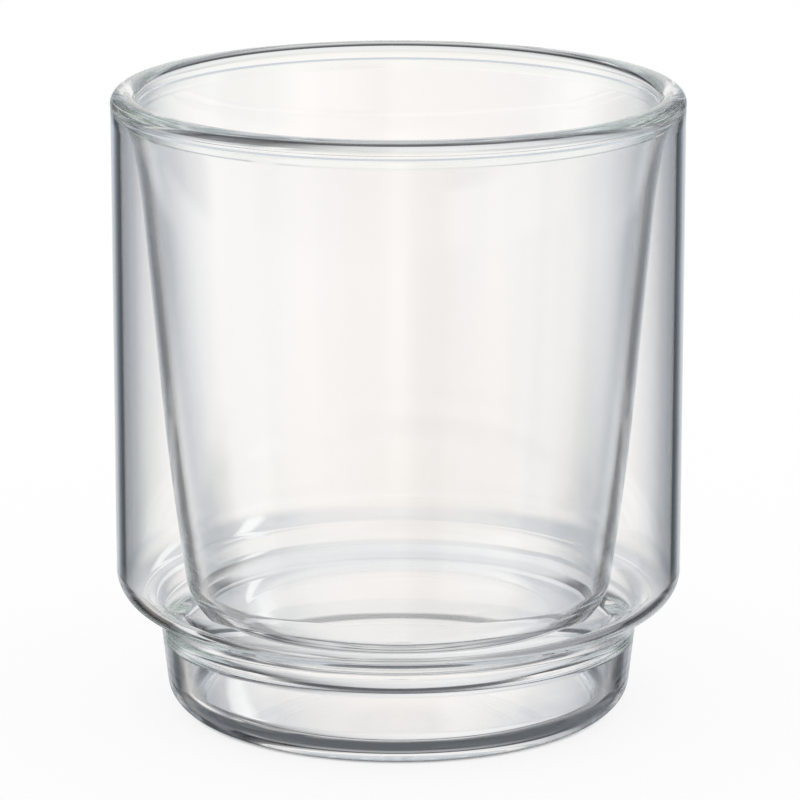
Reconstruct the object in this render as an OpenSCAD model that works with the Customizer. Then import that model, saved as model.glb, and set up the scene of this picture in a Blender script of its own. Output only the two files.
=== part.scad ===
// Double walled glass cup: an outer shell on a stepped foot and a tapered inner bowl,
// fused into one rim, with an air gap between them that a small glass seal closes at the base.
// Millimetres, +Z up, origin on the cup's axis in the plane that it stands on.

/* [Cup] */
// Height from the table to the rim's crest
cup_h = 90; // [78:0.5:110]
// Outer radius of the straight body
body_r = 40.65; // [36:0.05:48]

/* [Outer shell] */
// Glass thickness of the body's wall
shell_wall = 1.3; // [0.9:0.05:1.8]
// Height over the table at which the body's wall starts to turn in
shoulder_z = 20.6; // [19:0.1:26]
// Outer radius of the shoulder that turns in under the body
shoulder_r = 5.2; // [3.5:0.1:6.5]
// Inner radius of the shoulder
shoulder_in_r = 3.9; // [2:0.1:5]
// How far the foot is set in from the body at the step
step_w = 6.05; // [5.4:0.05:7.5]
// Slope of the step between the shoulder and the foot, in degrees from upright
step_slope = 65; // [60:0.5:70]
// Glass thickness of the step
step_wall = 1.3; // [1:0.05:1.8]
// Outer radius of the hollow cove where the step meets the foot
cove_r = 5.8; // [1:0.1:8]
// How far under the cove's corner the foot's inner face starts to lean out to the step
cove_drop = 3.9; // [3.2:0.1:5]
// Lean of that inner face, in degrees from upright
cove_lean = 32; // [24:0.5:38]
// Inner radius at the foot of the leaning face
cove_in_r = 2.4; // [1:0.1:4]
// Inner radius at the head of the leaning face, where it meets the step
cove_top_r = 5; // [1:0.1:6]
// Lean of the foot's wall, outwards from the table up, in degrees
foot_lean = 6.5; // [0:0.5:9]
// Glass thickness of the foot's wall
foot_wall = 2.7; // [2.2:0.05:3.4]
// Outer radius of the heel, where the foot turns under
heel_r = 4.5; // [3:0.1:6]
// Inner radius of the heel
heel_in_r = 3.8; // [2:0.1:5]
// Glass thickness of the base
base_wall = 1.7; // [1.2:0.1:2.6]
// Width of the flat ring that the cup rests on
rest_w = 4; // [2:0.5:8]
// Height that the middle of the base rises over the table
punt_h = 1; // [0.6:0.1:2]
// Radius of the vent hole in the middle of the base
vent_r = 2.4; // [1:0.1:3]

/* [Rim] */
// Width of the fused rim, from the mouth to its outer bulge
rim_w = 3.9; // [3.4:0.1:5]
// Height of the fused rim over the two walls' cut edges
rim_h = 4; // [3:0.1:6]
// How far the rim bulges past the body
rim_bulge = 0.05; // [0.05:0.05:0.4]
// Radius of the rim's rounded crest
rim_round_r = 1.85; // [1:0.05:1.95]
// How far the air gap reaches up into the rim
gap_rise = 1.6; // [1:0.1:2]

/* [Inner bowl] */
// Glass thickness of the bowl's wall
bowl_wall = 1.45; // [1:0.05:1.8]
// Glass thickness of the bowl's floor
bowl_floor = 1.6; // [1:0.1:2.4]
// Height of the bowl's underside over the table
bowl_lift = 12; // [8:0.5:18]
// Outer radius of the bowl's lower corner
bowl_corner_r = 8.6; // [5:0.2:12]
// Depth under the crest at which the wall starts to lean out to the rim
neck_drop = 11; // [8:0.5:16]
// How far the wall leans out between the neck and the rim
flare = 1.55; // [0.4:0.05:2]
// Height over the table at which the taper steepens
waist_z = 36.5; // [30:0.5:45]
// Radius lost between the neck and the waist
upper_taper = 3.7; // [2:0.05:6]
// Radius lost between the waist and the floor
lower_taper = 3.3; // [2:0.05:6]

/* [Vent seal] */
// Height of the seal's low round drop over the base, inside the air gap
drop_h = 0.25; // [0.1:0.05:0.8]

/* [Hidden] */
$fn = 180;

// The fillets of the gentle bends, and how finely an arc or a curve is drawn
bulge_blend_r = 6;
neck_blend_r = 90;
waist_blend_r = 450;
step_angle = 7.5;
least_steps = 3;
punt_steps = 12;
seal_steps = 6;

// The air gap's roof is rounded by this share of the half width that it has there, and a cove that would
// run into the shoulder's arc gets this share of the room
roof_share = 0.96;
fit_share = 0.98;

weld_z = cup_h - rim_h;
rim_r = body_r + rim_bulge;
mouth_r = rim_r - rim_w;
shell_in_r = body_r - shell_wall;

// Height lost on the step, and radius gained up the foot, for each millimetre along
step_fall = 1 / tan(step_slope);
foot_gain = tan(foot_lean);

// The step's corners before they are rounded, outside and inside, and the foot's radius at the table
shoulder_at = shoulder_z - shoulder_r * tan(step_slope / 2);
cove_at = shoulder_at - step_w * step_fall;
foot_top_r = body_r - step_w;
foot_base_r = foot_top_r - cove_at * foot_gain;
foot_in_r = foot_base_r - foot_wall;
shoulder_in_at = shoulder_at + step_wall / sin(step_slope) - shell_wall * step_fall;
lean_gain = tan(cove_lean);
lean_at = cove_at - cove_drop;
lean_r = foot_in_r + lean_at * foot_gain;
lean_top_at = (shoulder_in_at - (shell_in_r - lean_r + lean_at * lean_gain) * step_fall)
    / (1 - lean_gain * step_fall);
lean_top_r = lean_r + (lean_top_at - lean_at) * lean_gain;
punt_r = foot_base_r - heel_r - rest_w;

bowl_top_r = mouth_r + bowl_wall;
neck_r = bowl_top_r - flare;
waist_r = neck_r - upper_taper;
bowl_base_r = waist_r - lower_taper;

glass = [0.80, 0.88, 0.88, 0.4];
seal_glass = [0.72, 0.84, 0.82, 0.6];

function unit(v) = v / norm(v);

// The corner of an outline as an arc that touches both of its edges, or as it is if its radius is zero
function corner(before, at, after, radius) =
    radius <= 0 ? [at] :
    let (
        back = unit(before - at),
        ahead = unit(after - at),
        half = acos(back * ahead) / 2,
        centre = at + unit(back + ahead) * radius / sin(half),
        first = at + back * radius / tan(half) - centre,
        last = at + ahead * radius / tan(half) - centre,
        from = atan2(first.y, first.x),
        turn = atan2(first.x * last.y - first.y * last.x, first * last),
        steps = max(least_steps, ceil(abs(turn) / step_angle))
    )
    [for (i = [0:steps]) centre + radius * [cos(from + turn * i / steps), sin(from + turn * i / steps)]];

// An outline from corners of [radius from the axis, height, fillet]
function rounded(corners) =
    let (n = len(corners), at = [for (c = corners) [c[0], c[1]]])
    [for (i = [0:n - 1]) each corner(at[(i + n - 1) % n], at[i], at[(i + 1) % n], corners[i][2])];

// The radius of a bend in the cove, or the largest that the shoulder leaves room for on a step of this width
function cove_fit(wanted, width, shoulder, lean) =
    let (left = width / sin(step_slope) - shoulder * tan(step_slope / 2))
    min(wanted, fit_share * left / tan((step_slope - lean) / 2));

// Height of the base's smooth rise at a distance from the axis
function punt(r) = punt_h * (1 + cos(180 * r / punt_r)) / 2;

// One face of the base between the vent and the rest ring, at a height over the rise
function punt_corners(over) =
    [for (i = [0:punt_steps]) let (r = vent_r + (punt_r - vent_r) * i / punt_steps) [r, punt(r) + over, 0]];

function reversed(list) = [for (i = [len(list) - 1:-1:0]) list[i]];

function shell_corners() = concat(
    punt_corners(0),
    [
        [foot_base_r, 0, heel_r],
        [foot_top_r, cove_at, cove_fit(cove_r, step_w, shoulder_r, foot_lean)],
        [body_r, shoulder_at, shoulder_r],
        [body_r, weld_z, 0],
        [shell_in_r, weld_z, 0],
        [shell_in_r, shoulder_in_at, shoulder_in_r],
        [lean_top_r, lean_top_at, cove_fit(cove_top_r, shell_in_r - lean_top_r, shoulder_in_r, cove_lean)],
        [lean_r, lean_at, cove_in_r],
        [foot_in_r + base_wall * foot_gain, base_wall, heel_in_r]
    ],
    reversed(punt_corners(base_wall))
);

function bowl_corners() = [
    [0, bowl_lift, 0],
    [bowl_base_r, bowl_lift, bowl_corner_r],
    [waist_r, waist_z, waist_blend_r],
    [neck_r, cup_h - neck_drop, neck_blend_r],
    [bowl_top_r, weld_z, 0],
    [mouth_r, weld_z, 0],
    [neck_r - bowl_wall, cup_h - neck_drop, neck_blend_r],
    [waist_r - bowl_wall, waist_z, waist_blend_r],
    [bowl_base_r - bowl_wall, bowl_lift + bowl_floor, bowl_corner_r - bowl_wall],
    [0, bowl_lift + bowl_floor, 0]
];

function rim_corners() =
    let (roof_r = roof_share * (shell_in_r - bowl_top_r) / 2)
    [
        [body_r, weld_z, 0],
        [rim_r, cup_h - rim_round_r, bulge_blend_r],
        [rim_r, cup_h, rim_round_r],
        [mouth_r, cup_h, rim_round_r],
        [mouth_r, weld_z, 0],
        [bowl_top_r, weld_z, 0],
        [bowl_top_r, weld_z + gap_rise, roof_r],
        [shell_in_r, weld_z + gap_rise, roof_r],
        [shell_in_r, weld_z, 0]
    ];

module turned(corners) {
    rotate_extrude()
        polygon(rounded(corners));
}

module outer_shell() {
    color(glass)
        turned(shell_corners());
}

module inner_bowl() {
    color(glass)
        turned(bowl_corners());
}

// The melted ring that closes the air gap and joins the two walls' cut edges
module rim_bead() {
    color(glass)
        turned(rim_corners());
}

// Height of the seal's drop over the base at a distance from the axis
function drop(r) = drop_h * (1 + cos(180 * r / vent_r)) / 2;

// The drop of glass that was melted into the vent once the rim was closed, flush with the base's underside
module vent_seal() {
    reach = [for (i = [0:seal_steps]) vent_r * i / seal_steps];
    color(seal_glass)
        turned(concat(
            [for (r = reach) [r, punt(r), 0]],
            [for (r = reversed(reach)) [r, punt(r) + base_wall + drop(r), 0]]
        ));
}

outer_shell();
inner_bowl();
rim_bead();
vent_seal();
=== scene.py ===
"""Dresses a packed double walled glass cup as clear blown glass, lit for bright edges on a white sweep."""

from __future__ import annotations

import logging
import math
from dataclasses import dataclass, field
from enum import Enum
from typing import Any

import bpy
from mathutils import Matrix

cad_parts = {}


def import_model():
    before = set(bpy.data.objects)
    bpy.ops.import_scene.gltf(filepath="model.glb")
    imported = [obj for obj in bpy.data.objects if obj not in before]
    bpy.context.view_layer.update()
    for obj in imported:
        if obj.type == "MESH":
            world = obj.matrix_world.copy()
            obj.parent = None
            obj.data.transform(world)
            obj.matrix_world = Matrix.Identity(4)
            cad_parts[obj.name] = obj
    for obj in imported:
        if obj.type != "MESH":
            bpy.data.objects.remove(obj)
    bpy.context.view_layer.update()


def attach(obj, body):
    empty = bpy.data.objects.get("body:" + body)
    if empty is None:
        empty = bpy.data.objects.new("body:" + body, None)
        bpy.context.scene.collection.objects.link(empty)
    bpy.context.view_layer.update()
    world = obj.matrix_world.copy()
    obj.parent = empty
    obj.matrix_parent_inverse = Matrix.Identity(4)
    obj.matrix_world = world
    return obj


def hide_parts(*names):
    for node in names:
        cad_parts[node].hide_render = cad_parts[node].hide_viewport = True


LOG = logging.getLogger("cup")
MM = 0.001
ON_AXIS_MM = 1e-6
BODY = "root"
# Light runs round in the rim for this long before it gets out, and the rim's ends turn black if it is cut off
BOUNCES = 512

Colour = tuple[float, float, float, float]
Point = tuple[float, float]
Span = tuple[float, float]
Stops = tuple[tuple[float, str], ...]


def linear(code: str) -> Colour:
    """Turns an sRGB hex colour into linear light.

    Args:
        code: Six hex digits after a hash sign.

    Returns:
        Red, green, blue and an alpha of one.
    """
    parts = [int(code[i : i + 2], 16) / 255 for i in (1, 3, 5)]
    red, green, blue = (p / 12.92 if p <= 0.04045 else ((p + 0.055) / 1.055) ** 2.4 for p in parts)
    return red, green, blue, 1.0


def add(tree: bpy.types.NodeTree, kind: str, inputs: dict[Any, Any] | None = None, **settings: Any) -> Any:
    """Adds one node with its settings and links.

    Args:
        tree: The node tree that gets the node.
        kind: The node's Blender type name.
        inputs: Input names or numbers, each with a value or a socket to link from.
        **settings: Properties of the node itself.

    Returns:
        The new node.
    """
    node = tree.nodes.new(kind)
    for name, value in settings.items():
        setattr(node, name, value)
    for name, value in (inputs or {}).items():
        socket = node.inputs[name]
        if isinstance(value, bpy.types.NodeSocket):
            tree.links.new(value, socket)
        else:
            socket.default_value = value
    return node


def bare_material(name: str) -> bpy.types.Material:
    """Makes a material that has no nodes yet.

    Args:
        name: The material's name.

    Returns:
        The new material.
    """
    made = bpy.data.materials.new(name)
    made.use_nodes = True
    made.node_tree.nodes.clear()
    return made


def angles_between(start: float, end: float) -> dict[str, float]:
    """Returns the two limits of a range of angles, given in degrees, as inputs in radians."""
    return {"From Min": math.radians(start), "From Max": math.radians(end)}


def lengths_between(start: float, end: float) -> dict[str, float]:
    """Returns the two limits of a range of lengths, given in millimetres, as inputs in metres."""
    return {"From Min": start * MM, "From Max": end * MM}


class Face(Enum):
    """What a stretch of an outline becomes on the turned mesh, by its material slot."""

    SKIN = 0
    SEAM = 1


class Effect(Enum):
    """What a panel does to the surroundings behind it, by Blender's blend type."""

    DARKENS = "MULTIPLY"
    LIGHTENS = "LIGHTEN"


@dataclass(frozen=True)
class Corner:
    """One corner of a turned outline, in millimetres.

    Attributes:
        r: Distance from the axis.
        z: Height over the table.
        fillet: Radius of the arc that rounds the corner, or zero for a sharp one.
        face: What the stretch that starts at this corner is.
    """

    r: float
    z: float
    fillet: float = 0.0
    face: Face = Face.SKIN


@dataclass(frozen=True)
class Spot:
    """One point of a finished outline, in millimetres.

    Attributes:
        r: Distance from the axis.
        z: Height over the table.
        face: What the stretch that starts at this point is.
        sharp: Whether the point turns into a hard edge.
    """

    r: float
    z: float
    face: Face
    sharp: bool


@dataclass(frozen=True)
class Lathe:
    """Turns an outline of corners into a closed mesh.

    Attributes:
        segments: Steps around the axis.
        arc_step: Largest angle between two points of a fillet, in degrees.
        least_steps: Fewest steps of a fillet.
        run_step: Largest length between two points of a straight stretch, in millimetres.
        sharp_bend: Bend past which an unrounded corner is a hard edge, in degrees.
    """

    segments: int = 256
    arc_step: float = 3.0
    least_steps: int = 4
    run_step: float = 2.5
    sharp_bend: float = 25.0

    def fillet(self, before: Corner, at: Corner, after: Corner) -> list[Point]:
        """Rounds one corner.

        Args:
            before: The corner before it.
            at: The corner itself.
            after: The corner after it.

        Returns:
            The points of an arc that touches both edges, or the corner alone.
        """
        if at.fillet <= 0:
            return [(at.r, at.z)]
        back = math.atan2(before.z - at.z, before.r - at.r)
        ahead = math.atan2(after.z - at.z, after.r - at.r)
        spread = (ahead - back + math.pi) % math.tau - math.pi
        half = abs(spread) / 2
        middle = back + spread / 2
        reach = at.fillet / math.sin(half)
        centre = (at.r + reach * math.cos(middle), at.z + reach * math.sin(middle))
        turn = math.copysign(math.pi - abs(spread), -spread)
        first = middle + math.pi - turn / 2
        steps = max(self.least_steps, math.ceil(math.degrees(abs(turn)) / self.arc_step))
        angles = [first + turn * i / steps for i in range(steps + 1)]
        return [(centre[0] + at.fillet * math.cos(a), centre[1] + at.fillet * math.sin(a)) for a in angles]

    def rounded(self, corners: list[Corner]) -> list[Spot]:
        """Rounds the corners of an outline.

        Args:
            corners: The outline's corners, in order, with the last joined to the first.

        Returns:
            The outline's points, with its straight stretches still in one.
        """
        marks: list[Spot] = []
        for i, at in enumerate(corners):
            before, after = corners[i - 1], corners[(i + 1) % len(corners)]
            come = math.atan2(at.z - before.z, at.r - before.r)
            leave = math.atan2(after.z - at.z, after.r - at.r)
            bend = abs((leave - come + math.pi) % math.tau - math.pi)
            sharp = at.fillet <= 0 and math.degrees(bend) > self.sharp_bend
            marks += [Spot(r, z, at.face, sharp) for r, z in self.fillet(before, at, after)]
        return marks

    def outline(self, corners: list[Corner]) -> list[Spot]:
        """Rounds the corners and splits the straight stretches.

        Args:
            corners: The outline's corners, in order, with the last joined to the first.

        Returns:
            The finished outline's points.
        """
        marks = self.rounded(corners)
        spots: list[Spot] = []
        for here, then in zip(marks, marks[1:] + marks[:1], strict=True):
            spots.append(here)
            length = math.hypot(then.r - here.r, then.z - here.z)
            along_axis = here.r < ON_AXIS_MM and then.r < ON_AXIS_MM
            pieces = 1 if along_axis else math.ceil(length / self.run_step)
            for k in range(1, pieces):
                r = here.r + (then.r - here.r) * k / pieces
                z = here.z + (then.z - here.z) * k / pieces
                spots.append(Spot(r, z, here.face, False))
        return spots

    def mesh(self, name: str, corners: list[Corner]) -> bpy.types.Mesh:
        """Turns the outline once around the Z axis.

        Args:
            name: The new mesh's name.
            corners: The outline's corners, anticlockwise with the axis on the left.

        Returns:
            A closed, smooth mesh in metres, with seam faces in the second material slot.
        """
        spots = self.outline(corners)
        verts: list[tuple[float, float, float]] = []
        rings: list[list[int]] = []
        for spot in spots:
            around = 1 if spot.r < ON_AXIS_MM else self.segments
            rings.append(list(range(len(verts), len(verts) + around)))
            for k in range(around):
                angle = math.tau * k / self.segments
                verts.append((spot.r * math.cos(angle) * MM, spot.r * math.sin(angle) * MM, spot.z * MM))
        faces: list[tuple[int, ...]] = []
        slots: list[int] = []
        for spot, low, high in zip(spots, rings, rings[1:] + rings[:1], strict=True):
            if len(low) == 1 and len(high) == 1:
                continue
            for k in range(self.segments):
                n = (k + 1) % self.segments
                loop = (low[k % len(low)], low[n % len(low)], high[n % len(high)], high[k % len(high)])
                faces.append(tuple(dict.fromkeys(loop)))
                slots.append(spot.face.value)
        mesh = bpy.data.meshes.new(name)
        mesh.from_pydata(verts, [], faces)
        mesh.shade_smooth()
        mesh.polygons.foreach_set("material_index", slots)
        hard = {v for spot, ring in zip(spots, rings, strict=True) if spot.sharp and len(ring) > 1 for v in ring}
        place = {v: i for i, ring in enumerate(rings) for v in ring}
        for edge in mesh.edges:
            a, b = edge.vertices
            edge.use_edge_sharp = place[a] == place[b] and a in hard
        mesh.validate()
        mesh.update()
        return mesh


@dataclass(frozen=True)
class CupSizes:
    """The cup's driving sizes, in millimetres and degrees, by the names that the part's source gives them.

    Attributes:
        seam_gap: Gap between two fused pieces, so thin that it doesn't show.
    """

    cup_h: float = 90.0
    body_r: float = 40.65
    shell_wall: float = 1.3
    shoulder_z: float = 20.6
    shoulder_r: float = 5.2
    shoulder_in_r: float = 3.9
    step_w: float = 6.05
    step_slope: float = 65.0
    step_wall: float = 1.3
    cove_r: float = 5.8
    cove_drop: float = 3.9
    cove_lean: float = 32.0
    cove_in_r: float = 2.4
    cove_top_r: float = 5.0
    foot_lean: float = 6.5
    foot_wall: float = 2.7
    heel_r: float = 4.5
    heel_in_r: float = 3.8
    base_wall: float = 1.7
    rest_w: float = 4.0
    punt_h: float = 1.0
    vent_r: float = 2.4
    rim_w: float = 3.9
    rim_h: float = 4.0
    rim_bulge: float = 0.05
    rim_round_r: float = 1.85
    gap_rise: float = 1.6
    bowl_wall: float = 1.45
    bowl_floor: float = 1.6
    bowl_lift: float = 12.0
    bowl_corner_r: float = 8.6
    neck_drop: float = 11.0
    flare: float = 1.55
    waist_z: float = 36.5
    upper_taper: float = 3.7
    lower_taper: float = 3.3
    drop_h: float = 0.25
    bulge_blend_r: float = 6.0
    neck_blend_r: float = 90.0
    waist_blend_r: float = 450.0
    roof_share: float = 0.96
    seam_gap: float = 0.0005

    @property
    def weld_z(self) -> float:
        """Height of the two walls' cut edges."""
        return self.cup_h - self.rim_h

    @property
    def mouth_r(self) -> float:
        """Radius of the mouth inside the rim."""
        return self.body_r + self.rim_bulge - self.rim_w

    @property
    def shell_in_r(self) -> float:
        """Inner radius of the outer wall."""
        return self.body_r - self.shell_wall

    @property
    def bowl_top_r(self) -> float:
        """Outer radius of the bowl at its cut edge."""
        return self.mouth_r + self.bowl_wall

    @property
    def step_fall(self) -> float:
        """Height lost for each millimetre that the step runs inwards."""
        return 1 / math.tan(math.radians(self.step_slope))

    @property
    def foot_gain(self) -> float:
        """Radius gained for each millimetre up the foot."""
        return math.tan(math.radians(self.foot_lean))

    @property
    def shoulder_at(self) -> float:
        """Height of the shoulder's corner before it is rounded."""
        return self.shoulder_z - self.shoulder_r * math.tan(math.radians(self.step_slope / 2))

    @property
    def cove_at(self) -> float:
        """Height of the cove's corner before it is rounded."""
        return self.shoulder_at - self.step_w * self.step_fall

    @property
    def foot_base_r(self) -> float:
        """Radius at which the foot's leaning wall would meet the table."""
        return self.body_r - self.step_w - self.cove_at * self.foot_gain

    @property
    def foot_in_r(self) -> float:
        """Radius at which the foot's inner face would meet the table."""
        return self.foot_base_r - self.foot_wall

    @property
    def shoulder_in_at(self) -> float:
        """Height of the shoulder's inner corner before it is rounded."""
        slope = math.radians(self.step_slope)
        return self.shoulder_at + self.step_wall / math.sin(slope) - self.shell_wall * self.step_fall

    @property
    def lean_gain(self) -> float:
        """Radius gained for each millimetre up the leaning face behind the cove."""
        return math.tan(math.radians(self.cove_lean))

    @property
    def lean_foot(self) -> Point:
        """Radius and height at which the foot's inner face starts to lean out."""
        height = self.cove_at - self.cove_drop
        return self.foot_in_r + height * self.foot_gain, height

    @property
    def lean_head(self) -> Point:
        """Finds where the leaning face meets the step's inner face.

        Returns:
            Radius and height of that corner.
        """
        r, z = self.lean_foot
        drop = (self.shell_in_r - r + z * self.lean_gain) * self.step_fall
        height = (self.shoulder_in_at - drop) / (1 - self.lean_gain * self.step_fall)
        return r + (height - z) * self.lean_gain, height

    @property
    def punt_r(self) -> float:
        """Radius at which the base starts to rise off the table."""
        return self.foot_base_r - self.heel_r - self.rest_w

    def punt(self, r: float) -> float:
        """Returns the height of the base's underside over the table at a distance from the axis."""
        return self.punt_h * (1 + math.cos(math.pi * r / self.punt_r)) / 2

    def drop(self, r: float) -> float:
        """Returns the height of the seal's drop over the base at a distance from the axis."""
        return self.drop_h * (1 + math.cos(math.pi * r / self.vent_r)) / 2


@dataclass(frozen=True)
class FusedSeam:
    """Flame fused joint: two pieces run into each other with no surface, so it gives the eye nothing at all.

    Attributes:
        name: The material's name.
    """

    name: str = "fused_glass_seam"

    def material(self) -> bpy.types.Material:
        """Makes the material on first use.

        Returns:
            The material, one for all pieces.
        """
        made = bpy.data.materials.get(self.name)
        if made:
            return made
        made = bare_material(self.name)
        clear = add(made.node_tree, "ShaderNodeBsdfTransparent", {"Color": linear("#ffffff")})
        add(made.node_tree, "ShaderNodeOutputMaterial", {"Surface": clear.outputs[0]})
        return made


@dataclass(frozen=True)
class BlownGlass:
    """Borosilicate glass, blown and fire polished: clear and bright, with faint waves that bend what is behind it.

    Attributes:
        name: The material's name.
        tint: Colour that light takes on at each face. It builds up over the many faces, so it is all but white.
        ior: Index of refraction, near 1.47 for borosilicate.
        ripple: Width of the faint waves that blowing leaves, in millimetres.
        ripple_depth: Height of those waves, in millimetres.
        ripple_detail: How many times finer waves ride on them.
        ripple_share: Share of the height that the finer waves have.
        haze: Highest roughness of the polished skin.
        haze_from: Wave heights, from none to one, between which the haze grows.
    """

    name: str
    tint: str = "#ffffff"
    ior: float = 1.474
    ripple: float = 14.0
    ripple_depth: float = 0.004
    ripple_detail: float = 1.0
    ripple_share: float = 0.4
    haze: float = 0.012
    haze_from: Span = (0.35, 0.75)

    def material(self) -> bpy.types.Material:
        """Builds the material's nodes.

        Returns:
            The finished material.
        """
        made = bare_material(self.name)
        tree = made.node_tree
        place = add(tree, "ShaderNodeTexCoord")
        waves = add(
            tree,
            "ShaderNodeTexNoise",
            {
                "Vector": place.outputs["Object"],
                "Scale": 1 / (self.ripple * MM),
                "Detail": self.ripple_detail,
                "Roughness": self.ripple_share,
            },
        )
        lens = add(
            tree,
            "ShaderNodeBump",
            {"Height": waves.outputs[0], "Strength": 1.0, "Distance": self.ripple_depth * MM},
        )
        film = add(
            tree,
            "ShaderNodeMapRange",
            {
                "Value": waves.outputs[0],
                "From Min": self.haze_from[0],
                "From Max": self.haze_from[1],
                "To Min": 0.0,
                "To Max": self.haze,
            },
        )
        glass = add(
            tree,
            "ShaderNodeBsdfPrincipled",
            {
                "Base Color": linear(self.tint),
                "Roughness": film.outputs[0],
                "IOR": self.ior,
                "Transmission Weight": 1.0,
                "Normal": lens.outputs[0],
            },
        )
        add(tree, "ShaderNodeOutputMaterial", {"Surface": glass.outputs[0]})
        return made


@dataclass
class GlassPiece:
    """One turned piece of the cup.

    Attributes:
        sizes: The cup's sizes.
        node: The solid that it takes the place of.
        slot: Name of a material slot; not used.
        finish: Its glass.
        lathe: How finely it is turned.
    """

    sizes: CupSizes
    node: str
    slot: str
    finish: BlownGlass
    lathe: Lathe = field(default_factory=Lathe)

    def corners(self) -> list[Corner]:
        """Returns the outline's corners, which each piece gives."""
        raise NotImplementedError

    def build(self) -> bpy.types.Object:
        """Turns the piece, dresses it and puts it on its body in its solid's place.

        Returns:
            The finished object.
        """
        mesh = self.lathe.mesh(f"{self.node}_mesh", self.corners())
        piece = bpy.data.objects.new(f"{self.node}_glass", mesh)
        bpy.context.scene.collection.objects.link(piece)
        self.dress(piece)
        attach(piece, BODY)
        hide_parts(self.node)
        LOG.info("%s: %d faces", piece.name, len(mesh.polygons))
        return piece

    def dress(self, piece: bpy.types.Object) -> None:
        """Gives the piece its glass, and its fused faces their seam."""
        piece.data.materials.append(self.finish.material())
        piece.data.materials.append(FusedSeam().material())


@dataclass
class OuterShell(GlassPiece):
    """The outer wall, from its cut edge down over shoulder, foot and heel to the vent.

    Attributes:
        punt_steps: Steps of the base's smooth rise.
    """

    node: str = "outer_shell"
    slot: str = "shell_glass"
    # Blown borosilicate: a clear wall whose edges draw themselves as dark lines
    finish: BlownGlass = BlownGlass("borosilicate_blown_shell")
    punt_steps: int = 24

    def corners(self) -> list[Corner]:
        """Goes along the shell's outline, from the vent outwards and back along the inside.

        Returns:
            The outline's corners.
        """
        s = self.sizes
        reach = [s.vent_r + (s.punt_r - s.vent_r) * i / self.punt_steps for i in range(self.punt_steps + 1)]
        top = s.weld_z - s.seam_gap
        under = [Corner(r, s.punt(r)) for r in reach]
        outside = [
            Corner(s.foot_base_r, 0, s.heel_r),
            Corner(s.body_r - s.step_w, s.cove_at, s.cove_r),
            Corner(s.body_r, s.shoulder_at, s.shoulder_r),
            Corner(s.body_r, top, 0, Face.SEAM),
        ]
        inside = [
            Corner(s.shell_in_r, top),
            Corner(s.shell_in_r, s.shoulder_in_at, s.shoulder_in_r),
            Corner(*s.lean_head, s.cove_top_r),
            Corner(*s.lean_foot, s.cove_in_r),
            Corner(s.foot_in_r + s.base_wall * s.foot_gain, s.base_wall, s.heel_in_r),
        ]
        over = [Corner(r, s.punt(r) + s.base_wall) for r in reversed(reach[1:])]
        vent = [Corner(s.vent_r, s.punt(s.vent_r) + s.base_wall, 0, Face.SEAM)]
        return under + outside + inside + over + vent


@dataclass
class InnerBowl(GlassPiece):
    """The tapered bowl that holds the drink."""

    node: str = "inner_bowl"
    slot: str = "bowl_glass"
    # Blown borosilicate: a clear bowl, with a soft lens where its floor turns up
    finish: BlownGlass = BlownGlass("borosilicate_blown_bowl")

    def corners(self) -> list[Corner]:
        """Goes along the bowl's outline, up its outside and down its inside.

        Returns:
            The outline's corners.
        """
        s = self.sizes
        neck_r = s.bowl_top_r - s.flare
        neck_z = s.cup_h - s.neck_drop
        waist_r = neck_r - s.upper_taper
        base_r = waist_r - s.lower_taper
        floor_z = s.bowl_lift + s.bowl_floor
        top = s.weld_z - s.seam_gap
        return [
            Corner(0, s.bowl_lift),
            Corner(base_r, s.bowl_lift, s.bowl_corner_r),
            Corner(waist_r, s.waist_z, s.waist_blend_r),
            Corner(neck_r, neck_z, s.neck_blend_r),
            Corner(s.bowl_top_r, top, 0, Face.SEAM),
            Corner(s.mouth_r, top),
            Corner(neck_r - s.bowl_wall, neck_z, s.neck_blend_r),
            Corner(waist_r - s.bowl_wall, s.waist_z, s.waist_blend_r),
            Corner(base_r - s.bowl_wall, floor_z, s.bowl_corner_r - s.bowl_wall),
            Corner(0, floor_z),
        ]


@dataclass
class RimBead(GlassPiece):
    """The melted ring that joins the two walls and closes the air gap."""

    node: str = "rim_bead"
    slot: str = "rim_glass"
    # Flame fused borosilicate: thick and round, so light stays in it and comes out faintly green at the ends
    finish: BlownGlass = BlownGlass("borosilicate_flame_fused_rim", tint="#fdfefd")

    def corners(self) -> list[Corner]:
        """Goes along the rim's outline, over its crest and back through the air gap's roof.

        Returns:
            The outline's corners.
        """
        s = self.sizes
        rim_r = s.body_r + s.rim_bulge
        roof_r = s.roof_share * (s.shell_in_r - s.bowl_top_r) / 2
        roof_z = s.weld_z + s.gap_rise
        low = s.weld_z + s.seam_gap
        return [
            Corner(s.body_r, low),
            Corner(rim_r, s.cup_h - s.rim_round_r, s.bulge_blend_r),
            Corner(rim_r, s.cup_h, s.rim_round_r),
            Corner(s.mouth_r, s.cup_h, s.rim_round_r),
            Corner(s.mouth_r, low, 0, Face.SEAM),
            Corner(s.bowl_top_r, low),
            Corner(s.bowl_top_r, roof_z, roof_r),
            Corner(s.shell_in_r, roof_z, roof_r),
            Corner(s.shell_in_r, low, 0, Face.SEAM),
        ]


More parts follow.
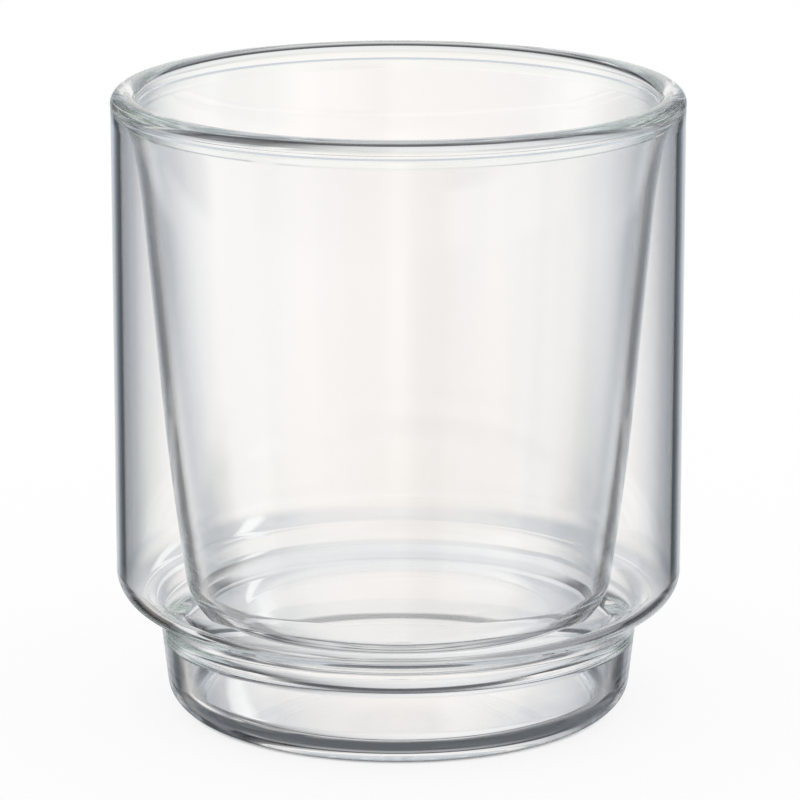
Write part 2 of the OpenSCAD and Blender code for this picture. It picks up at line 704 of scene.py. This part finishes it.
@dataclass
class VentSeal(GlassPiece):
    """The drop of glass melted into the vent in the middle of the base.

    Attributes:
        drop_steps: Steps from the drop's middle to its edge.
    """

    node: str = "vent_seal"
    slot: str = "seal_glass"
    # Melted borosilicate: a small weak lens in the middle of the base
    finish: BlownGlass = BlownGlass("borosilicate_melted_seal")
    drop_steps: int = 12

    def corners(self) -> list[Corner]:
        """Goes along the seal's outline, along the base's underside and back over the low drop inside.

        Returns:
            The outline's corners.
        """
        s = self.sizes
        reach = [(s.vent_r - s.seam_gap) * i / self.drop_steps for i in range(self.drop_steps + 1)]
        under = [Corner(r, s.punt(r)) for r in reach[:-1]]
        side = [Corner(reach[-1], s.punt(reach[-1]), 0, Face.SEAM)]
        over = [Corner(r, s.punt(r) + s.base_wall + s.drop(r)) for r in reversed(reach)]
        return under + side + over


@dataclass(frozen=True)
class Camera:
    """The photograph's viewpoint.

    Attributes:
        distance: From the aim to the lens, in millimetres.
        elevation: Height over the horizon, in degrees.
        aim: Point that falls in the middle of the picture, in millimetres.
        focal_px: Focal length, in pixels.
        frame_px: Width of the picture, in pixels.
        sensor_w: Width of the sensor, in millimetres.
        near: Distance from which the camera sees, in metres.
    """

    distance: float = 714.3
    elevation: float = 14.0
    aim: tuple[float, float, float] = (0.23, 0.0, 44.6)
    focal_px: float = 4984.0
    frame_px: float = 800.0
    sensor_w: float = 36.0
    near: float = 0.01

    def build(self) -> None:
        """Adds the camera and makes it the scene's own."""
        data = bpy.data.cameras.new("photo_view")
        data.sensor_width = self.sensor_w
        data.lens = self.sensor_w * self.focal_px / self.frame_px
        data.clip_start = self.near
        camera = bpy.data.objects.new("photo_view", data)
        tilt = math.radians(self.elevation)
        x, y, z = self.aim
        back = self.distance * math.cos(tilt)
        camera.location = (x * MM, (y - back) * MM, (z + self.distance * math.sin(tilt)) * MM)
        camera.rotation_euler = (math.pi / 2 - tilt, 0, 0)
        bpy.context.scene.collection.objects.link(camera)
        bpy.context.scene.camera = camera
        LOG.info("camera: %.0f mm lens", data.lens)


# Colours across a stretch of the studio, by degrees from its middle
BACKDROP: Stops = (
    (0, "#fffbf8"),
    (3, "#fefcfa"),
    (5, "#fcfbfa"),
    (6, "#faf9f9"),
    (8, "#ecedef"),
    (10, "#d6d9dd"),
    (12, "#c1c8d0"),
    (14, "#b3bbc5"),
    (16, "#b1b9c3"),
    (18, "#adb5bf"),
    (20, "#9098a2"),
    (22, "#646a71"),
    (25, "#4c5156"),
    (30, "#4c5054"),
)
SWEEP_FOOT: Stops = (
    (0, "#f6f4f3"),
    (2, "#eeeeef"),
    (3.2, "#dadce0"),
    (5, "#d2d5da"),
    (9, "#c6cbd2"),
    (16, "#b6bbc3"),
    (20, "#98a0a9"),
    (23, "#5a5f65"),
    (26, "#484d53"),
    (30, "#484c50"),
)
STRIPS: Stops = (
    (0, "#ffffff"),
    (5, "#f6f6f7"),
    (10, "#dfe1e5"),
    (16, "#ccd0d5"),
    (20, "#9a9ea4"),
    (23, "#54504d"),
    (26, "#443c37"),
    (30, "#443b35"),
)
CLOSE_EDGE: Stops = ((36, "#585250"), (39, "#989898"), (43, "#f0f0f0"), (46, "#ffffff"))
WIDE_EDGE: Stops = (
    (36, "#5e6266"),
    (45, "#8f9397"),
    (55, "#b4b7ba"),
    (65, "#d2d4d6"),
    (75, "#ededee"),
    (88, "#ffffff"),
)
SIDE_WALL: Stops = ((0, "#acc4b3"), (32, "#acc4b3"), (47, "#ffffff"))
WINDOW: Stops = ((0, "#ffffff"), (0.5, "#ffffff"), (1.4, "#000000"))

# Painted shadow: the floor's tone where the foot shuts the light out, for the floor's paint and the contact shadow
# ring
PAINTED_SHADOW = "#565a5e"


@dataclass(frozen=True)
class SweepPaint:
    """Matt white sweep, sprayed: even and pale, with a painted contact shadow that is dark only right at the heel.

    Attributes:
        name: The material's name.
        colour: Its colour in the open.
        painted_shadow: Colour of the painted contact shadow at the heel.
        painted_shadow_r: Radius up to which that painted shadow is dark, and radius from which it is white, in
            millimetres.
    """

    name: str = "matt_white_sweep"
    colour: str = "#ffffff"
    painted_shadow: str = PAINTED_SHADOW
    painted_shadow_r: Span = (29.3, 31.2)

    def material(self) -> bpy.types.Material:
        """Builds the material's nodes.

        Returns:
            The finished material.
        """
        made = bare_material(self.name)
        tree = made.node_tree
        place = add(tree, "ShaderNodeTexCoord")
        reach = add(tree, "ShaderNodeVectorMath", {0: place.outputs["Object"]}, operation="LENGTH")
        # Painted contact shadow: dark at the heel, fading to white farther out
        clear = add(
            tree,
            "ShaderNodeMapRange",
            {"Value": reach.outputs["Value"], **lengths_between(*self.painted_shadow_r)},
            interpolation_type="SMOOTHSTEP",
        )
        tone = add(
            tree,
            "ShaderNodeMix",
            {"Factor": clear.outputs[0], "A": linear(self.painted_shadow), "B": linear(self.colour)},
            data_type="RGBA",
        )
        matt = add(tree, "ShaderNodeBsdfDiffuse", {"Color": tone.outputs["Result"]})
        add(tree, "ShaderNodeOutputMaterial", {"Surface": matt.outputs[0]})
        return made


@dataclass(frozen=True)
class ContactShadow:
    """The foot's shadow on the sweep: a soft dark ring, which the glass over it draws out into the heel's edge.

    Attributes:
        name: The material's name.
        tone: Its colour.
        reach: Inner and outer radius at which it has faded out, in millimetres.
        core: Inner and outer radius of its darkest part, in millimetres.
    """

    name: str = "floor_contact_shadow"
    tone: str = PAINTED_SHADOW
    reach: Span = (30.2, 35.7)
    core: Span = (31.5, 33.4)

    def material(self) -> bpy.types.Material:
        """Builds the material's nodes.

        Returns:
            The finished material.
        """
        made = bare_material(self.name)
        tree = made.node_tree
        glow = add(tree, "ShaderNodeEmission", {"Color": linear(self.tone)})
        clear = add(tree, "ShaderNodeBsdfTransparent", {"Color": linear("#ffffff")})
        place = add(tree, "ShaderNodeTexCoord")
        reach = add(tree, "ShaderNodeVectorMath", {0: place.outputs["Object"]}, operation="LENGTH")
        grow, fall = (
            add(
                tree,
                "ShaderNodeMapRange",
                {"Value": reach.outputs["Value"], **lengths_between(gone, full)},
                interpolation_type="SMOOTHSTEP",
            )
            for gone, full in zip(self.reach, self.core, strict=True)
        )
        weight = add(tree, "ShaderNodeMath", {0: grow.outputs[0], 1: fall.outputs[0]}, operation="MINIMUM")
        soft = add(tree, "ShaderNodeMixShader", {0: weight.outputs[0], 1: clear.outputs[0], 2: glow.outputs[0]})
        add(tree, "ShaderNodeOutputMaterial", {"Surface": soft.outputs[0]})
        return made


@dataclass(frozen=True)
class Panel:
    """A stretch of the surroundings that the glass shows: a white panel with grey margins and dark strips, or a wall.

    Attributes:
        azimuth: Direction of its middle, in degrees from +X towards +Y.
        bottom: Lowest elevation that it covers, in degrees.
        top: Highest elevation that it covers, in degrees.
        stops: Colours across it, by degrees from its middle.
        depth: How much of them shows, from none at zero to all at one.
        drop: How far the dark band under it is lowered for a steeper look, in degrees, or None for no band.
        effect: Whether it darkens what is there, or lightens it as a window does.
    """

    azimuth: float
    bottom: float
    top: float
    stops: Stops
    depth: float = 1.0
    drop: float | None = None
    effect: Effect = Effect.DARKENS


@dataclass(frozen=True)
class Studio:
    """A white sweep whose panels end in dark strips, which draw the glass's edges.

    Attributes:
        panels: The panels behind the cup, for each side that it is looked at from, and the walls beside it.
        sky: Colours from straight down to straight up away from the panels, by degrees of elevation.
        band: The same under and over a panel, with the dark band that draws the level edges.
        band_w: Reach of that band on both sides of a panel's middle, where its fade starts and ends, in degrees.
        soft: Width over which a panel's lower and upper edges fade, in degrees.
        margin_w: Reach of a panel's margins, in degrees.
        shade: Light that reaches the floor through the cup, which leaves its soft shadow.
        floor_r: Radius of the floor, in metres.
        floor_steps: Corners of the floor.
        paint: The floor's finish, with its painted contact shadow at the heel.
        contact: The contact shadow's finish.
        contact_at: How far that shadow falls behind the foot and how high it lies, in millimetres.
        contact_steps: Steps around it.
    """

    panels: tuple[Panel, ...] = (
        Panel(90, -17, 26, BACKDROP + WIDE_EDGE, drop=0),
        Panel(90, -22, -17, SWEEP_FOOT + CLOSE_EDGE),
        Panel(90, -38, -22, STRIPS + CLOSE_EDGE),
        Panel(135, -40, -21.5, BACKDROP + CLOSE_EDGE, drop=11),
        Panel(180, -9.5, 20, BACKDROP + WIDE_EDGE, drop=0),
        Panel(315, -24, -9.5, BACKDROP + CLOSE_EDGE, 0.6, drop=0),
        Panel(0, 4, 38, SIDE_WALL),
        Panel(245, 4, 38, SIDE_WALL),
        Panel(94.6, -21.5, -16.8, WINDOW, effect=Effect.LIGHTENS),
    )
    sky: Stops = (
        (-90, "#a8a8a6"),
        (-72, "#c8cac8"),
        (-62, "#a8aaac"),
        (-50, "#989a9e"),
        (-35, "#8c9096"),
        (-25, "#a8acb2"),
        (-19, "#e4e6e8"),
        (-14, "#ffffff"),
        (18, "#ffffff"),
        (30, "#cfd6de"),
        (90, "#c8cfd8"),
    )
    band: Stops = (
        (-90, "#8c8a88"),
        (-78, "#8c8a88"),
        (-73, "#b4b4b2"),
        (-69.5, "#f0f0ee"),
        (-65, "#f0f0ee"),
        (-63.5, "#5a5a5c"),
        (-60, "#5a5a5c"),
        (-58, "#e8e8e8"),
        (-52, "#e0e0e0"),
        (-47, "#b4b4b6"),
        (-43, "#a4a4a6"),
        (-41.2, "#606062"),
        (-38.5, "#48484a"),
        (-34.2, "#48484a"),
        (-33.0, "#f0f0f1"),
        (-28, "#f6f6f6"),
        (-22, "#fafaf9"),
        (-17, "#fefcf9"),
        (-10, "#ffffff"),
        (23, "#ffffff"),
        (34, "#d6dbe2"),
        (90, "#ccd3db"),
    )
    band_w: Span = (18.0, 27.0)
    soft: float = 2.4
    margin_w: float = 90.0
    shade: str = "#f4f4f4"
    floor_r: float = 4.0
    floor_steps: int = 96
    paint: SweepPaint = SweepPaint()
    contact: ContactShadow = ContactShadow()
    contact_at: Span = (3.0, -0.2)
    contact_steps: int = 192

    def build(self) -> None:
        """Makes the surroundings, the floor and the shadow on it."""
        self.surroundings()
        self.lay_floor()
        self.lay_shadow()

    def tones(self, tree: bpy.types.NodeTree, angle: bpy.types.NodeSocket, stops: Stops, ends: Span) -> Any:
        """Gives each angle a colour.

        Args:
            tree: The world's node tree.
            angle: The socket with the angle, in radians.
            stops: Angles in degrees, each with its colour.
            ends: Lowest and highest angle, in degrees.

        Returns:
            The colour's socket.
        """
        low, high = ends
        share = add(tree, "ShaderNodeMapRange", {"Value": angle, **angles_between(low, high)})
        chart = add(tree, "ShaderNodeValToRGB", {0: share.outputs[0]})
        elements = chart.color_ramp.elements
        while len(elements) < len(stops):
            elements.new(1.0)
        for element, (at, code) in zip(elements, stops, strict=True):
            element.position = (at - low) / (high - low)
            element.color = linear(code)
        return chart.outputs[0]

    def backing(self, tree: bpy.types.NodeTree, rise: Any, turns: list[Any]) -> Any:
        """Colours the sky, and the dark band under each panel that has one.

        Args:
            tree: The world's node tree.
            rise: The socket with the elevation.
            turns: The sockets with the angles from each panel's middle.

        Returns:
            The colour's socket.
        """
        upright = (-90, 90)
        seen = self.tones(tree, rise, self.sky, upright)
        for panel, turn in zip(self.panels, turns, strict=True):
            if panel.drop is None:
                continue
            lifted = add(tree, "ShaderNodeMath", {0: rise, 1: math.radians(panel.drop)}, operation="ADD")
            colour = self.tones(tree, lifted.outputs[0], self.band, upright)
            share = add(
                tree,
                "ShaderNodeMapRange",
                {"Value": turn, **angles_between(self.band_w[1], self.band_w[0])},
                interpolation_type="SMOOTHSTEP",
            )
            mixed = add(
                tree,
                "ShaderNodeMix",
                {"Factor": share.outputs[0], "A": seen, "B": colour},
                data_type="RGBA",
            )
            seen = mixed.outputs["Result"]
        return seen

    def in_glass(self, tree: bpy.types.NodeTree) -> Any:
        """Colours every direction as the glass shows it.

        Args:
            tree: The world's node tree.

        Returns:
            The colour's socket.
        """
        way = add(tree, "ShaderNodeTexCoord")
        axes = add(tree, "ShaderNodeSeparateXYZ", {0: way.outputs["Generated"]})
        rise = add(tree, "ShaderNodeMath", {0: axes.outputs["Z"]}, operation="ARCSINE").outputs[0]
        level = add(tree, "ShaderNodeCombineXYZ", {0: axes.outputs["X"], 1: axes.outputs["Y"]})
        flat = add(tree, "ShaderNodeVectorMath", {0: level.outputs[0]}, operation="NORMALIZE")
        turns: list[Any] = []
        for panel in self.panels:
            turn = math.radians(panel.azimuth)
            middle = (math.cos(turn), math.sin(turn), 0)
            near = add(tree, "ShaderNodeVectorMath", {0: flat.outputs[0], 1: middle}, operation="DOT_PRODUCT")
            turns.append(add(tree, "ShaderNodeMath", {0: near.outputs["Value"]}, operation="ARCCOSINE").outputs[0])
        seen = self.backing(tree, rise, turns)
        half = self.soft / 2
        for panel, turn in zip(self.panels, turns, strict=True):
            colour = self.tones(tree, turn, panel.stops, (0, self.margin_w))
            over, under = (
                add(
                    tree,
                    "ShaderNodeMapRange",
                    {"Value": rise, **angles_between(outside, inside)},
                    interpolation_type="SMOOTHSTEP",
                )
                for outside, inside in (
                    (panel.bottom - half, panel.bottom + half),
                    (panel.top + half, panel.top - half),
                )
            )
            within = add(tree, "ShaderNodeMath", {0: over.outputs[0], 1: under.outputs[0]}, operation="MULTIPLY")
            share = add(tree, "ShaderNodeMath", {0: within.outputs[0], 1: panel.depth}, operation="MULTIPLY")
            mixed = add(
                tree,
                "ShaderNodeMix",
                {"Factor": share.outputs[0], "A": seen, "B": colour},
                data_type="RGBA",
                blend_type=panel.effect.value,
            )
            seen = mixed.outputs["Result"]
        return seen

    def surroundings(self) -> None:
        """Fills the world with the panels that the glass shows, and with plain white elsewhere."""
        world = bpy.data.worlds.new("studio")
        bpy.context.scene.world = world
        world.use_nodes = True
        tree = world.node_tree
        tree.nodes.clear()
        seen = self.in_glass(tree)
        path = add(tree, "ShaderNodeLightPath")
        glassy = add(
            tree,
            "ShaderNodeMath",
            {0: path.outputs["Is Glossy Ray"], 1: path.outputs["Is Transmission Ray"]},
            operation="MAXIMUM",
        )
        # Light that has met the floor on its way gets an even tone, so that no panel paints the floor
        direct = add(tree, "ShaderNodeMath", {0: path.outputs["Diffuse Depth"], 1: 0.5}, operation="LESS_THAN")
        shown = add(
            tree,
            "ShaderNodeMix",
            {"Factor": direct.outputs[0], "A": linear(self.shade), "B": seen},
            data_type="RGBA",
        )
        light = add(
            tree,
            "ShaderNodeMix",
            {"Factor": glassy.outputs[0], "A": linear("#ffffff"), "B": shown.outputs["Result"]},
            data_type="RGBA",
        )
        shine = add(tree, "ShaderNodeBackground", {"Color": light.outputs["Result"], "Strength": 1.0})
        add(tree, "ShaderNodeOutputWorld", {"Surface": shine.outputs[0]})
        LOG.info("world: %d panels", len(self.panels))

    def lay_floor(self) -> None:
        """Lays the pale floor, which the glass looks through to the panels."""
        bpy.ops.mesh.primitive_circle_add(vertices=self.floor_steps, radius=self.floor_r, fill_type="NGON")
        floor = bpy.context.object
        floor.name = "studio_floor"
        floor.data.materials.append(self.paint.material())
        floor.visible_glossy = False
        floor.visible_transmission = False

    def lay_shadow(self) -> None:
        """Lays the dark ring of the foot's contact shadow, which only the glass over it shows."""
        steps = self.contact_steps
        turns = [math.tau * i / steps for i in range(steps)]
        verts = [(r * MM * math.cos(a), r * MM * math.sin(a), 0) for r in self.contact.reach for a in turns]
        faces = [(i, steps + i, steps + (i + 1) % steps, (i + 1) % steps) for i in range(steps)]
        mesh = bpy.data.meshes.new("contact_shade")
        mesh.from_pydata(verts, [], faces)
        mesh.materials.append(self.contact.material())
        shade = bpy.data.objects.new("contact_shade", mesh)
        shade.location = (0, self.contact_at[0] * MM, self.contact_at[1] * MM)
        bpy.context.scene.collection.objects.link(shade)
        shade.visible_camera = False
        shade.visible_diffuse = False
        shade.visible_shadow = False


def settings() -> None:
    """Sets the plain view transform, and enough bounces for light that runs round in the rim."""
    scene = bpy.context.scene
    scene.view_settings.view_transform = "Standard"
    scene.cycles.max_bounces = BOUNCES
    scene.cycles.transmission_bounces = BOUNCES
    scene.cycles.glossy_bounces = BOUNCES
    scene.cycles.transparent_max_bounces = BOUNCES
    scene.cycles.blur_glossy = 0.0


def main() -> None:
    """Loads the solids, dresses each piece and sets the studio up around them."""
    logging.basicConfig(level=logging.INFO, format="%(name)s: %(message)s")
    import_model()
    sizes = CupSizes()
    for kind in (OuterShell, InnerBowl, RimBead, VentSeal):
        kind(sizes).build()
    Studio().build()
    Camera().build()
    settings()


if __name__ == "__main__":
    main()
